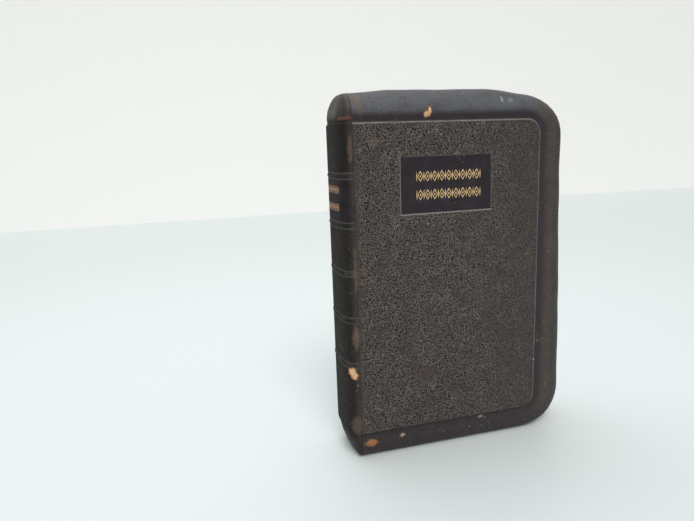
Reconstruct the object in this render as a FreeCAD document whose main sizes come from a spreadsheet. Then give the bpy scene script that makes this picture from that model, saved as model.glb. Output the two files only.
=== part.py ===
# Small prayer book: limp leather with yapp flaps over two boards, round back with five
# raised bands, twelve sewn sections. It stands on its tail: +Z is the head, the front
# cover faces -Y, the spine is at -X and the origin is the middle of its foot.

import FreeCAD, Part
import Sketcher
import math
import os

SECTIONS = 12
BANDS = 5
TAPES = 3

# name, millimetres, what it is
SIZES = (
    ("panel_width", 92.4, "front panel, joint line to fore edge"),
    ("panel_height", 144.0, "front panel, tail to head"),
    ("panel_corner", 7.0, "corner radius of the panel"),
    ("panel_rise", 1.0, "panel above the flaps around it"),
    ("leather_thick", 1.1, "covering leather"),
    ("board_thick", 1.2, "cover board"),
    ("joint_width", 6.5, "leather left to bend between spine and board"),
    ("head_flap", 13.6, "flap beyond the panel at the head"),
    ("tail_flap", 13.0, "flap beyond the panel at the tail"),
    ("fore_flap", 14.0, "flap beyond the panel at the fore edge"),
    ("flap_corner", 18.0, "corner radius of the flaps"),
    ("flap_round", 7.0, "radius of the turn over the edge"),
    ("flap_slit", 3.0, "slit between front and back flaps"),
    ("label_inset", 21.5, "joint line to label"),
    ("label_drop", 15.3, "panel head to label"),
    ("label_width", 45.1, "sunk label, side to side"),
    ("label_height", 25.7, "sunk label, top to bottom"),
    ("label_depth", 0.25, "how far the label is sunk"),
    ("shoulder_radius", 5.0, "round shoulder between spine and cover"),
    ("back_rise", 1.0, "round of the back beyond its shoulders"),
    ("cap_round", 4.0, "turn of the leather over head and tail caps"),
    ("band_start", 22.5, "panel head to first band"),
    ("band_pitch", 21.7, "band to band"),
    ("band_width", 2.6, "raised rib in the leather"),
    ("band_rise", 0.3, "rib above the spine"),
    ("section_pitch", 2.0, "one sewn section"),
    ("section_gap", 0.1, "air between sections"),
    ("leaf_corner", 6.0, "corner radius of the leaves"),
    ("fore_square", 1.5, "board beyond the leaves at the fore edge"),
    ("head_square", 1.0, "board beyond the leaves at head and tail"),
    ("gutter_width", 9.0, "part of the leaves that bends beside the fold"),
    ("flyleaf_thick", 0.2, "free endpaper"),
    ("flyleaf_gap", 0.05, "air on each side of the free endpaper"),
    ("pastedown_thick", 0.2, "endpaper pasted to the board"),
    ("pastedown_inset", 1.5, "board beyond the pastedown"),
    ("card_thick", 0.6, "stiffener inside the spine leather"),
    ("kraft_thick", 0.4, "paper lining of the back"),
    ("mull_thick", 0.3, "open cloth glued over the back"),
    ("thread_thick", 0.3, "sewing thread"),
    ("tape_thick", 0.3, "linen sewing tape"),
    ("tape_width", 10.0, "linen sewing tape"),
    ("kettle_inset", 12.0, "leaf edge to kettle stitch"),
    ("endband_thick", 1.8, "bead at head and tail of the back"),
)

# name, formula on the sizes, what it is
PLACES = (
    ("block_half", f"{SECTIONS / 2} * sizes.section_pitch", "half of the sewn block"),
    ("lining_y", "block_half + sizes.flyleaf_thick + 2 * sizes.flyleaf_gap", "inner face of a cover"),
    ("board_y", "lining_y + sizes.pastedown_thick", "inner face of a board"),
    ("panel_y", "board_y + sizes.board_thick + sizes.leather_thick", "outer face of a panel"),
    ("flap_y", "panel_y - sizes.panel_rise", "outer face of the flaps"),
    ("height", "sizes.tail_flap + sizes.panel_height + sizes.head_flap", "whole height"),
    ("cover_width", "sizes.panel_width + sizes.fore_flap", "joint line to flap edge"),
    ("spine_depth", "sizes.shoulder_radius + sizes.back_rise", "spine beyond the joint line"),
    ("shoulder_y", "panel_y - sizes.shoulder_radius", "centres of the shoulders"),
    (
        "back_radius",
        "(spine_depth ^ 2 + shoulder_y ^ 2 - sizes.shoulder_radius ^ 2) / (2 * sizes.back_rise)",
        "round of the spine leather",
    ),
    ("joint_x", "(spine_depth + sizes.band_rise - cover_width) / 2", "joint line"),
    ("back_x", "joint_x + back_radius - spine_depth", "centre of the round back"),
    ("card_radius", "back_radius - sizes.leather_thick", "outside of the stiffener"),
    ("kraft_radius", "card_radius - sizes.card_thick", "outside of the paper lining"),
    ("mull_radius", "kraft_radius - sizes.kraft_thick", "outside of the mull"),
    ("thread_radius", "mull_radius - sizes.mull_thick", "outside of the thread"),
    ("tape_radius", "thread_radius - sizes.thread_thick", "outside of the tapes"),
    ("fold_radius", "tape_radius - sizes.tape_thick", "tips of the section folds"),
    ("board_reach", "sizes.panel_width - sizes.leather_thick", "joint line to board edge"),
    ("board_z", "sizes.tail_flap + sizes.leather_thick", "tail of a board"),
    ("board_height", "sizes.panel_height - 2 * sizes.leather_thick", "height of a board"),
    ("leaf_reach", "board_reach - sizes.fore_square", "joint line to leaf edge"),
    ("leaf_z", "board_z + sizes.head_square", "tail of the leaves"),
    ("leaf_height", "board_height - 2 * sizes.head_square", "height of the leaves"),
    ("section_thick", "sizes.section_pitch - sizes.section_gap", "one pressed section"),
    ("head_z", "sizes.tail_flap + sizes.panel_height", "head of the panel"),
)

doc = FreeCAD.newDocument("prayer_book")


def new_sheet(name, rows):
    """A spreadsheet with one row per value: its alias, the value and what it is."""
    sheet = doc.addObject("Spreadsheet::Sheet", name)
    for row, (alias, content, meaning) in enumerate(rows, start=1):
        sheet.set(f"A{row}", alias)
        sheet.set(f"C{row}", meaning)
        sheet.set(f"B{row}", str(content))
        sheet.setAlias(f"B{row}", alias)
    doc.recompute()
    return sheet


sizes = new_sheet("sizes", SIZES)
places = new_sheet("places", [(alias, "=" + formula, meaning) for alias, formula, meaning in PLACES])


def amount(formula):
    """What a formula on the two sheets comes to, in millimetres."""
    return float(places.evalExpression(formula))


def place(thing, x="0", y="0", z="0"):
    """Ties an object's position to formulas."""
    for axis, formula in zip("xyz", (x, y, z)):
        thing.setExpression(f"Placement.Base.{axis}", formula)
    return thing


def plane_sketch(body, role):
    """An empty sketch on one of a body's own origin planes."""
    sketch = body.newObject("Sketcher::SketchObject", body.Name + "_outline")
    plane = next(p for p in body.Origin.OriginFeatures if p.Role == role)
    sketch.AttachmentSupport = [(plane, "")]
    sketch.MapMode = "FlatFace"
    return sketch


def tie(sketch, name, formula, *constraint):
    """A dimension of a sketch that follows a formula."""
    number = sketch.addConstraint(Sketcher.Constraint(*constraint, amount(formula)))
    sketch.renameConstraint(number, name)
    sketch.setExpression(f"Constraints.{name}", formula)


def pad(body, sketch, length, reverse):
    """A pad of a sketch, its length tied to a formula."""
    feature = body.newObject("PartDesign::Pad", body.Name + "_pad")
    feature.Profile = sketch
    feature.Reversed = reverse
    feature.setExpression("Length", length)
    doc.recompute()
    return feature


def round_over(body, feature, radius, wanted):
    """A fillet on the edges of a feature that a test picks."""
    fillet = body.newObject("PartDesign::Fillet", body.Name + "_round")
    edges = enumerate(feature.Shape.Edges, start=1)
    fillet.Base = (feature, [f"Edge{number}" for number, edge in edges if wanted(edge)])
    fillet.setExpression("Radius", radius)
    doc.recompute()


def slab(name, width, height, corner, thick, x, y, z):
    """An upright sheet or board with its two fore-edge corners rounded.

    It starts at x, y and z and grows towards +X, +Y and +Z.
    """
    body = doc.addObject("PartDesign::Body", name)
    sketch = plane_sketch(body, "XZ_Plane")
    w, h, r = amount(width), amount(height), amount(corner)
    at = FreeCAD.Vector
    up = at(0, 0, 1)
    quarter = math.pi / 2
    sketch.addGeometry(
        [
            Part.LineSegment(at(0, 0), at(w - r, 0)),
            Part.ArcOfCircle(Part.Circle(at(w - r, r), up, r), -quarter, 0),
            Part.LineSegment(at(w, r), at(w, h - r)),
            Part.ArcOfCircle(Part.Circle(at(w - r, h - r), up, r), 0, quarter),
            Part.LineSegment(at(w - r, h), at(0, h)),
            Part.LineSegment(at(0, h), at(0, 0)),
        ]
    )
    sketch.addConstraint(
        [
            Sketcher.Constraint("Coincident", 0, 1, -1, 1),
            Sketcher.Constraint("Tangent", 0, 2, 1, 1),
            Sketcher.Constraint("Tangent", 1, 2, 2, 1),
            Sketcher.Constraint("Tangent", 2, 2, 3, 1),
            Sketcher.Constraint("Tangent", 3, 2, 4, 1),
            Sketcher.Constraint("Coincident", 4, 2, 5, 1),
            Sketcher.Constraint("Coincident", 5, 2, 0, 1),
            Sketcher.Constraint("Horizontal", 0),
            Sketcher.Constraint("Vertical", 2),
            Sketcher.Constraint("Horizontal", 4),
            Sketcher.Constraint("Vertical", 5),
            Sketcher.Constraint("Equal", 1, 3),
        ]
    )
    tie(sketch, "corner", corner, "Radius", 1)
    tie(sketch, "width", width, "DistanceX", -1, 1, 2, 1)
    tie(sketch, "height", height, "DistanceY", 5, 2, 5, 1)
    pad(body, sketch, thick, True)
    return place(body, x, y, z)


def block(name, length, width, height, x, y, z):
    """A plain box whose sides and lowest corner follow formulas."""
    box = doc.addObject("Part::Box", name)
    for side, formula in zip(("Length", "Width", "Height"), (length, width, height)):
        box.setExpression(side, formula)
    return place(box, x, y, z)


def rod(name, radius, height, x, y, z):
    """An upright cylinder whose sizes and foot follow formulas."""
    cylinder = doc.addObject("Part::Cylinder", name)
    cylinder.setExpression("Radius", radius)
    cylinder.setExpression("Height", height)
    return place(cylinder, x, y, z)


def boolean(kind, name, base, tool):
    """A Part::Cut or Part::Common of two objects."""
    result = doc.addObject(kind, name)
    result.Base = base
    result.Tool = tool
    return result


def fused(name, pieces):
    result = doc.addObject("Part::MultiFuse", name)
    result.Shapes = pieces
    return result


def mirrored(name, source):
    """The same piece on the back cover, across the middle plane of the book."""
    result = doc.addObject("Part::Mirroring", name)
    result.Source = source
    result.Normal = FreeCAD.Vector(0, 1, 0)
    return result


def flap_form(name, reach, height, corner, thick, turn, y, z):
    """The outer or inner form of the flaps: a slab whose front edge is turned over."""
    body = slab(name, reach, height, corner, thick, "places.joint_x", y, z)

    def on_front(edge):
        low = edge.BoundBox
        return low.YMax < 1e-6 and low.XMax > 1e-6

    round_over(body, body.Tip, turn, on_front)
    return body


def cover_leather():
    """The covering leather on both sides: tray, bending joint strip and, in front, the sunk label."""
    wall = "sizes.leather_thick"
    outside = flap_form(
        "flap_outside", "places.cover_width", "places.height", "sizes.flap_corner",
        "places.flap_y - sizes.flap_slit / 2", "sizes.flap_round", "-places.flap_y", "0",
    )
    inside = flap_form(
        "flap_inside", f"places.cover_width - {wall}", f"places.height - 2 * {wall}",
        f"sizes.flap_corner - {wall}", f"places.flap_y - {wall}",
        f"sizes.flap_round - {wall}", f"{wall} - places.flap_y", wall,
    )
    panel = slab(
        "panel_outside", "sizes.panel_width", "sizes.panel_height", "sizes.panel_corner",
        f"sizes.panel_rise + {wall}", "places.joint_x", "-places.panel_y", "sizes.tail_flap",
    )
    recess = slab(
        "panel_inside", "places.board_reach", "places.board_height",
        f"sizes.panel_corner - {wall}", "sizes.board_thick + sizes.pastedown_thick",
        "places.joint_x", f"{wall} - places.panel_y", "places.board_z",
    )
    whole = boolean(
        "Part::Cut", "cover_skin",
        fused("cover_outside", [outside, panel]), fused("cover_inside", [inside, recess]),
    )
    joint_zone = block(
        "joint_zone", "sizes.joint_width", "2 * places.panel_y", "places.height",
        "places.joint_x", "-2 * places.panel_y", "0",
    )
    plain = boolean("Part::Cut", "plain_tray", whole, joint_zone)
    label = block(
        "label_recess", "sizes.label_width", "2 * sizes.label_depth", "sizes.label_height",
        "places.joint_x + sizes.label_inset", "-places.panel_y - sizes.label_depth",
        "places.head_z - sizes.label_drop - sizes.label_height",
    )
    front = boolean("Part::Cut", "front_cover_leather", plain, label)
    strip = boolean("Part::Common", "front_joint_leather", whole, joint_zone)
    back = mirrored("back_cover_leather", plain)
    return [front, strip, back, mirrored("back_joint_leather", strip)]


def near_face(sign, depth, thick):
    """The lowest y of a sheet that lies beyond a depth, in front or at the back."""
    return depth if sign > 0 else f"-{depth} - {thick}"


def cover_sheets(side, sign):
    """Board and pastedown of one cover; sign is -1 in front and 1 at the back."""
    start = "places.joint_x + sizes.joint_width"
    width = "places.board_reach - sizes.joint_width"
    board = slab(
        f"{side}_cover_board", width, "places.board_height",
        "sizes.panel_corner - sizes.leather_thick", "sizes.board_thick", start,
        near_face(sign, "places.board_y", "sizes.board_thick"), "places.board_z",
    )
    inset = "sizes.pastedown_inset"
    pastedown = slab(
        f"{side}_pastedown", f"{width} - {inset}", f"places.board_height - 2 * {inset}",
        f"sizes.panel_corner - sizes.leather_thick - {inset}", "sizes.pastedown_thick", start,
        near_face(sign, "places.lining_y", "sizes.pastedown_thick"), f"places.board_z + {inset}",
    )
    return [board, pastedown]


def flyleaf(side, sign):
    """The free endpaper and the strip of it that bends beside the joint."""
    y = near_face(sign, "(places.block_half + sizes.flyleaf_gap)", "sizes.flyleaf_thick")
    leaf = slab(
        f"{side}_flyleaf", "places.leaf_reach - sizes.gutter_width", "places.leaf_height",
        "sizes.leaf_corner", "sizes.flyleaf_thick", "places.joint_x + sizes.gutter_width", y,
        "places.leaf_z",
    )
    hinge = block(
        f"{side}_flyleaf_hinge", "sizes.gutter_width", "sizes.flyleaf_thick",
        "places.leaf_height", "places.joint_x", y, "places.leaf_z",
    )
    return [leaf, hinge]


def section_middle(number):
    return f"({number} - {SECTIONS / 2 + 0.5}) * sizes.section_pitch"


def fold_axis(number):
    """How far along x a section's fold turns: on the round of the back."""
    y = section_middle(number)
    reach = "(places.fold_radius - places.section_thick / 2)"
    return f"places.back_x - sqrt({reach} ^ 2 - ({y}) ^ 2)"


def section(number):
    """One sewn section: its leaves, pressed to a slab, and the folded part that bends."""
    y = f"{section_middle(number)} - places.section_thick / 2"
    name = f"section_{number:02d}"
    leaves = slab(
        f"{name}_leaves", "places.leaf_reach - sizes.gutter_width", "places.leaf_height",
        "sizes.leaf_corner", "places.section_thick", "places.joint_x + sizes.gutter_width", y,
        "places.leaf_z",
    )
    gutter = block(
        f"{name}_gutter",
        f"places.joint_x + sizes.gutter_width - ({fold_axis(number)})", "places.section_thick",
        "places.leaf_height", fold_axis(number), y, "places.leaf_z",
    )
    bend = rod(
        f"{name}_bend", "places.section_thick / 2", "places.leaf_height",
        fold_axis(number), section_middle(number), "places.leaf_z",
    )
    return [leaves, fused(f"{name}_fold", [gutter, bend])]


def back_layer(name, radius, thick, half_width, z, height):
    """A strip of a layer that lies on the round back."""
    outer = rod(f"{name}_outer", radius, height, "places.back_x", "0", z)
    inner = rod(f"{name}_inner", f"{radius} - {thick}", height, "places.back_x", "0", z)
    window = block(
        f"{name}_window", radius, f"2 * {half_width}", height,
        f"places.back_x - {radius}", f"-{half_width}", z,
    )
    ring = boolean("Part::Cut", f"{name}_ring", outer, inner)
    return boolean("Part::Common", name, ring, window)


def spine_form(name, inset, z, height, turn):
    """The round-backed form that the spine leather is drawn over, smaller by an inset."""
    body = doc.addObject("PartDesign::Body", name)
    sketch = plane_sketch(body, "XY_Plane")
    half = f"(places.panel_y - {inset})"
    shoulder = f"(sizes.shoulder_radius - {inset})"
    radius = f"(places.back_radius - {inset})"
    centre_y = amount("places.shoulder_y")
    centre_x = amount("places.back_x - places.joint_x")
    at = FreeCAD.Vector
    up = at(0, 0, 1)
    lean = at(centre_x, centre_y).getAngle(at(1, 0))
    lower = Part.Circle(at(0, -centre_y), up, amount(shoulder))
    upper = Part.Circle(at(0, centre_y), up, amount(shoulder))
    back = Part.Circle(at(centre_x, 0), up, amount(radius))
    sketch.addGeometry(
        [
            Part.LineSegment(at(0, -amount(half)), at(0, amount(half))),
            Part.ArcOfCircle(upper, math.pi / 2, math.pi - lean),
            Part.ArcOfCircle(back, math.pi - lean, math.pi + lean),
            Part.ArcOfCircle(lower, math.pi + lean, 1.5 * math.pi),
        ]
    )
    sketch.addConstraint(
        [
            Sketcher.Constraint("PointOnObject", 0, 1, -2),
            Sketcher.Constraint("Symmetric", 0, 1, 0, 2, -1, 1),
            Sketcher.Constraint("Coincident", 0, 2, 1, 1),
            Sketcher.Constraint("Tangent", 1, 2, 2, 1),
            Sketcher.Constraint("Tangent", 2, 2, 3, 1),
            Sketcher.Constraint("Coincident", 3, 2, 0, 1),
            Sketcher.Constraint("PointOnObject", 1, 3, -2),
            Sketcher.Constraint("PointOnObject", 3, 3, -2),
            Sketcher.Constraint("Equal", 1, 3),
        ]
    )
    tie(sketch, "half", half, "DistanceY", -1, 1, 0, 2)
    tie(sketch, "shoulder", shoulder, "Radius", 1)
    tie(sketch, "back", radius, "Radius", 2)
    feature = pad(body, sketch, height, False)

    def round_end(edge):
        flat = edge.BoundBox.ZLength < 1e-6
        return flat and edge.BoundBox.XMin < -1e-6

    round_over(body, feature, turn, round_end)
    return place(body, "places.joint_x", "0", z)


def band_z(number, width):
    """The lowest z of something as wide as stated, centred on a band."""
    drop = f"sizes.band_start + {number - 1} * sizes.band_pitch"
    return f"places.head_z - ({drop}) - ({width}) / 2"


def spine():
    """The spine leather with its caps, and the bands under it."""
    outside = spine_form("spine_outside", "0", "0", "places.height", "sizes.cap_round")
    wall = "sizes.leather_thick"
    inside = spine_form(
        "spine_inside", wall, wall, f"places.height - 2 * {wall}", f"sizes.cap_round - {wall}",
    )
    cord = f"(sizes.band_width - {wall})"
    ribs, bands = [], []
    for number in range(1, BANDS + 1):
        ribs.append(back_layer(
            f"rib_{number}", "(places.back_radius + sizes.band_rise)", "sizes.leather_thick",
            "places.block_half", band_z(number, "sizes.band_width"), "sizes.band_width",
        ))
        bands.append(back_layer(
            f"raised_band_{number}", "(places.card_radius + sizes.band_rise)",
            "sizes.band_rise", "places.shoulder_y", band_z(number, cord), cord,
        ))
    leather = boolean(
        "Part::Cut", "spine_leather",
        fused("spine_raised", [outside, *ribs]), fused("spine_hollow", [inside, *bands]),
    )
    return [leather, *bands]


def back_linings():
    """Stiffener, paper and mull, from the leather inwards."""
    rows = (
        ("spine_stiffener", "places.card_radius", "sizes.card_thick", "places.shoulder_y"),
        ("back_lining", "places.kraft_radius", "sizes.kraft_thick", "places.shoulder_y"),
        ("mull", "places.mull_radius", "sizes.mull_thick", "places.block_half"),
    )
    return [
        back_layer(name, radius, thick, half, "places.leaf_z", "places.leaf_height")
        for name, radius, thick, half in rows
    ]


def tape_z(number):
    share = number / (TAPES + 1)
    return f"places.leaf_z + {share} * places.leaf_height - sizes.tape_width / 2"


def tapes():
    return [
        back_layer(
            f"sewing_tape_{number}", "places.tape_radius", "sizes.tape_thick",
            "places.block_half", tape_z(number), "sizes.tape_width",
        )
        for number in range(1, TAPES + 1)
    ]


def back_bead(name, ring, thick, z):
    """A round bead that follows the back: an endband, or the chain of kettle stitches."""
    bead = doc.addObject("Part::Torus", name)
    bead.setExpression("Radius1", ring)
    bead.setExpression("Radius2", f"{thick} / 2")
    half_angle = f"asin(places.shoulder_y / ({ring}))"
    bead.setExpression("Angle3", f"2 * {half_angle}")
    bead.setExpression("Placement.Rotation.Angle", f"180 deg - {half_angle}")
    return place(bead, "places.back_x", "0", z)


def sewing_thread():
    """A length of thread over each tape for each section, and the two kettle stitch chains."""
    middle = "(places.tape_radius + sizes.thread_thick / 2)"
    stitches = []
    for tape in range(1, TAPES + 1):
        for number in range(1, SECTIONS + 1):
            y = section_middle(number)
            stitches.append(rod(
                f"stitch_{tape}_{number}", "sizes.thread_thick / 2", "sizes.tape_width",
                f"places.back_x - sqrt({middle} ^ 2 - ({y}) ^ 2)", y, tape_z(tape),
            ))
    inset = "sizes.kettle_inset"
    for end, z in (
        ("tail", f"places.leaf_z + {inset}"),
        ("head", f"places.leaf_z + places.leaf_height - {inset}"),
    ):
        stitches.append(back_bead(f"kettle_{end}", middle, "sizes.thread_thick", z))
    thread = doc.addObject("Part::Compound", "sewing_thread")
    thread.Links = stitches
    return thread


def endbands():
    thick = "sizes.endband_thick"
    ring = f"(places.fold_radius - {thick} / 2)"
    return [
        back_bead("head_band", ring, thick, f"places.leaf_z + places.leaf_height + {thick} / 2"),
        back_bead("tail_band", ring, thick, f"places.leaf_z - {thick} / 2"),
    ]


def check(things):
    """Stops if any object of the document failed or a sub-part has no sound shape."""
    failed = [o.Name for o in doc.Objects if {"Invalid", "Error"} & set(o.State)]
    if failed:
        raise RuntimeError(f"failed objects: {failed}")
    for thing in things:
        if thing.Shape.isNull() or not thing.Shape.isValid() or not thing.Shape.Solids:
            raise RuntimeError(f"{thing.Label} has no sound shape")


sub_parts = cover_leather() + spine() + back_linings() + tapes() + [sewing_thread()] + endbands()
for side, sign in (("front", -1), ("back", 1)):
    sub_parts += cover_sheets(side, sign) + flyleaf(side, sign)
for number in range(1, SECTIONS + 1):
    sub_parts += section(number)

doc.recompute()
check(sub_parts)
os.makedirs("parts", exist_ok=True)
for thing in sub_parts:
    thing.Label = thing.Name
    thing.Shape.exportStep(f"parts/{thing.Label}.step")
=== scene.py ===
import math

import bmesh
import bpy
import numpy as np
from mathutils import Matrix, Vector, noise


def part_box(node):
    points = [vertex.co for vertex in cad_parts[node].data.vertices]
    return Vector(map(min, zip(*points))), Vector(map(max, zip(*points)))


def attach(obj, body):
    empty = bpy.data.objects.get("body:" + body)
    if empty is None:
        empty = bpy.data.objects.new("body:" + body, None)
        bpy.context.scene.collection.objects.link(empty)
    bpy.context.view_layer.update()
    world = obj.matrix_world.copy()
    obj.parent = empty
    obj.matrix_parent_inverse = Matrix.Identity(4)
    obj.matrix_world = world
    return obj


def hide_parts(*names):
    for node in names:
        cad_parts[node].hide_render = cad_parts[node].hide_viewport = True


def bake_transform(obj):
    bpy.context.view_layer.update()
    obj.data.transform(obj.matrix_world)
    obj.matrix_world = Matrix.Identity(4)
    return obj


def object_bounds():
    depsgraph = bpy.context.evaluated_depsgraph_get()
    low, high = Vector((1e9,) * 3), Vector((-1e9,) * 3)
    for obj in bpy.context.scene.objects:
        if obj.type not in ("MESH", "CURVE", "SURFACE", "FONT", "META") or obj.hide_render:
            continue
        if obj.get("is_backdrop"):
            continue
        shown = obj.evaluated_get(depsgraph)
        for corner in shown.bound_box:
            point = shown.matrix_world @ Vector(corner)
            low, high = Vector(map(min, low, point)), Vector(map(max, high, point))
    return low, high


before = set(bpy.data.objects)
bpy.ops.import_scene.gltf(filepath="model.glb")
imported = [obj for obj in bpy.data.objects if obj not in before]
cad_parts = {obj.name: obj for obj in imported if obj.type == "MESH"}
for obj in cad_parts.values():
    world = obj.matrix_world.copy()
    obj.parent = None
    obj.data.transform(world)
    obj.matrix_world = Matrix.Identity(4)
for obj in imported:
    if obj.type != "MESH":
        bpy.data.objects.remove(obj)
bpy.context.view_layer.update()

MM = 0.001


# ----------------------------------------
# Studio: a pale table top in soft daylight from above and from the left, and the camera, which
# stands a forearm's length in front of the book, a little to the left of its spine.
# ----------------------------------------
joint_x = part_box("front_joint_leather")[0].x
panel_y = -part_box("front_cover_leather")[0].y
leather_thick = panel_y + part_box("front_cover_board")[0].y
panel_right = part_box("front_cover_board")[1].x + leather_thick
panel_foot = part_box("front_cover_board")[0].z - leather_thick
panel_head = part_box("front_cover_board")[1].z + leather_thick
head_joint = Vector((joint_x, -panel_y, panel_head))

ROOM = 3.0                  # half size of the table top and of the wall
WALL_AWAY = 1.1             # from the middle of the book to the wall


def stage_sheet(name, corners):
    mesh = bpy.data.meshes.new(name)
    mesh.from_pydata(corners, [], [(0, 1, 2, 3)])
    thing = bpy.data.objects.new(name, mesh)
    bpy.context.scene.collection.objects.link(thing)
    thing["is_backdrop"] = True
    return thing


table_top = stage_sheet(
    "table_top", [(-ROOM, -ROOM, 0), (ROOM, -ROOM, 0), (ROOM, WALL_AWAY, 0), (-ROOM, WALL_AWAY, 0)]
)
wall = stage_sheet(
    "wall", [(-ROOM, WALL_AWAY, 0), (ROOM, WALL_AWAY, 0), (ROOM, WALL_AWAY, ROOM), (-ROOM, WALL_AWAY, ROOM)]
)

world = bpy.data.worlds.new("pale_room")
world.use_nodes = True
world.node_tree.nodes["Background"].inputs["Color"].default_value = (0.745, 0.775, 0.79, 1)
world.node_tree.nodes["Background"].inputs["Strength"].default_value = 0.50
bpy.context.scene.world = world
bpy.context.scene.view_settings.view_transform = "Standard"


def lamp(name, kind, place, aim, strength, colour, size):
    """A lamp that shines from a place towards a point; size is its edge, or its angle for a sun."""
    data = bpy.data.lights.new(name, kind)
    data.energy = strength
    data.color = colour
    if kind == "SUN":
        data.angle = size
    else:
        data.size = size
    thing = bpy.data.objects.new(name, data)
    thing.location = place
    thing.rotation_euler = (Vector(aim) - Vector(place)).to_track_quat("-Z", "Y").to_euler()
    bpy.context.scene.collection.objects.link(thing)


middle_of_book = (0, 0, 0.09)
lamp("window", "SUN", (-0.15, -0.85, 1.1), middle_of_book, 2.05, (1.0, 0.98, 0.95), math.radians(34))
lamp("far_window", "AREA", (-0.10, 0.10, 0.75), middle_of_book, 1.9, (0.88, 0.94, 1.0), 0.45)

CAMERA_FROM_HEAD_JOINT = Vector((-0.0704, -0.2352, -0.0115))
YAW, PITCH, ROLL = math.radians(-15.65), math.radians(-11.07), math.radians(-2.15)
camera_data = bpy.data.cameras.new("camera")
camera_data.sensor_width = 36.0
camera_data.lens = 29.2
camera_data.clip_start = 0.01
camera = bpy.data.objects.new("camera", camera_data)
camera.matrix_world = (
    Matrix.Translation(head_joint + CAMERA_FROM_HEAD_JOINT)
    @ Matrix.Rotation(YAW, 4, "Z")
    @ Matrix.Rotation(math.pi / 2 + PITCH, 4, "X")
    @ Matrix.Rotation(ROLL, 4, "Z")
)
bpy.context.scene.collection.objects.link(camera)
bpy.context.scene.camera = camera


class Shade:
    """A socket of a material that can be reckoned with like a number or a point."""

    def __init__(self, socket):
        self.socket = socket

    def node(self, kind, settings, inputs, output=0):
        """Adds a node, sets it up, fills its sockets with values or links and gives an output."""
        tree = self.socket.id_data
        made = tree.nodes.new(kind)
        for name, value in settings.items():
            setattr(made, name, value)
        for name, value in inputs.items():
            if isinstance(value, Shade):
                tree.links.new(value.socket, made.inputs[name])
            else:
                made.inputs[name].default_value = value
        return Shade(made.outputs[output])

    def maths(self, operation, other=0.0):
        return self.node("ShaderNodeMath", {"operation": operation}, {0: self, 1: other})

    def __add__(self, other):
        return self.maths("ADD", other)

    def __sub__(self, other):
        return self.maths("SUBTRACT", other)

    def __rsub__(self, other):
        return (self * -1.0) + other

    def __mul__(self, other):
        return self.maths("MULTIPLY", other)

    __radd__ = __add__
    __rmul__ = __mul__

    def most(self, other):
        return self.maths("MAXIMUM", other)

    def rise(self, low, high):
        """0 below low, 1 above high, smooth between; low may be the larger of the two."""
        return self.node(
            "ShaderNodeMapRange", {"interpolation_type": "SMOOTHSTEP"},
            {"Value": self, "From Min": low, "From Max": high},
        )

    def vector(self, operation, other, output=0):
        return self.node("ShaderNodeVectorMath", {"operation": operation}, {0: self, 1: other}, output)

    def noise(self, scale, detail=2.0, roughness=0.5):
        inputs = {"Vector": self, "Scale": scale, "Detail": detail, "Roughness": roughness}
        return self.node("ShaderNodeTexNoise", {}, inputs)

    def cells(self, scale, feature, output):
        return self.node("ShaderNodeTexVoronoi", {"feature": feature}, {"Vector": self, "Scale": scale}, output)

    def axis(self, letter):
        return self.node("ShaderNodeSeparateXYZ", {}, {0: self}, letter.upper())

    def tint(self, share, colour):
        """This colour turned towards another by a share."""
        other = (*colour, 1) if isinstance(colour, tuple) else colour
        return self.node(
            "ShaderNodeMix", {"data_type": "RGBA", "clamp_factor": True}, {0: share, 6: self, 7: other}, 2
        )


def new_material(name):
    """A material, its Principled shader, its object coordinates and a reader of mesh attributes."""
    material = bpy.data.materials.new(name)
    material.use_nodes = True
    tree = material.node_tree
    shader = tree.nodes["Principled BSDF"]
    point = Shade(tree.nodes.new("ShaderNodeTexCoord").outputs["Object"])

    def attribute(label):
        return point.node("ShaderNodeAttribute", {"attribute_name": label}, {}, "Fac")

    return material, shader, point, attribute


def finish_material(shader, point, colour, roughness, height, relief):
    """Links colour, roughness and relief; relief is the height in metres of a height of 1."""
    tree = shader.id_data
    tree.links.new(colour.socket, shader.inputs["Base Color"])
    if isinstance(roughness, Shade):
        tree.links.new(roughness.socket, shader.inputs["Roughness"])
    else:
        shader.inputs["Roughness"].default_value = roughness
    bump = point.node("ShaderNodeBump", {}, {"Strength": 1.0, "Distance": relief, "Height": height})
    tree.links.new(bump.socket, shader.inputs["Normal"])


def flat_colour(point, colour):
    """One colour, ready to be tinted."""
    both = {0: 0.0, 6: (*colour, 1), 7: (*colour, 1)}
    return point.node("ShaderNodeMix", {"data_type": "RGBA"}, both, 2)


table_paint, table_shader, table_point, _ = new_material("table_paint")
table_cloud = table_point.noise(3.0, 3.0)
table_colour = flat_colour(table_point, (0.67, 0.725, 0.72)).tint(table_cloud * 0.3, (0.71, 0.75, 0.75))
finish_material(table_shader, table_point, table_colour, 0.45, table_point.noise(900.0), 0.00001)
table_top.data.materials.append(table_paint)
wall_paint, wall_shader, wall_point, _ = new_material("wall_paint")
wall_colour = flat_colour(wall_point, (0.87, 0.865, 0.85))
finish_material(wall_shader, wall_point, wall_colour, 0.8, wall_point.noise(300.0), 0.00005)
wall.data.materials.append(wall_paint)


# ----------------------------------------
# Front cover leather: limp leather with a pebbled grain, drawn over the board, which stands up
# as a raised panel, and run on past it at head, tail and fore edge as soft yapp flaps that turn
# over towards the leaves. A smooth label is sunk into it.
# ----------------------------------------
CORNER = 7.0 * MM           # corner of the raised panel
STEP_INSET = 0.9 * MM       # where the flat of the panel ends and its edge begins
STEP_DROP = 1.2 * MM        # from the panel down to the valley beside it
FLAP_WALL = 1.25 * MM       # doubled leather of the flaps
SLIT = 1.58 * MM            # middle of the book to the lip of a flap
TURN_IN = 6.0 * MM          # leather turned in over the board, under the pastedown
BOARD_FACE = 12.42 * MM     # the turn-in's face, just over the inner face of the board
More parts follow.
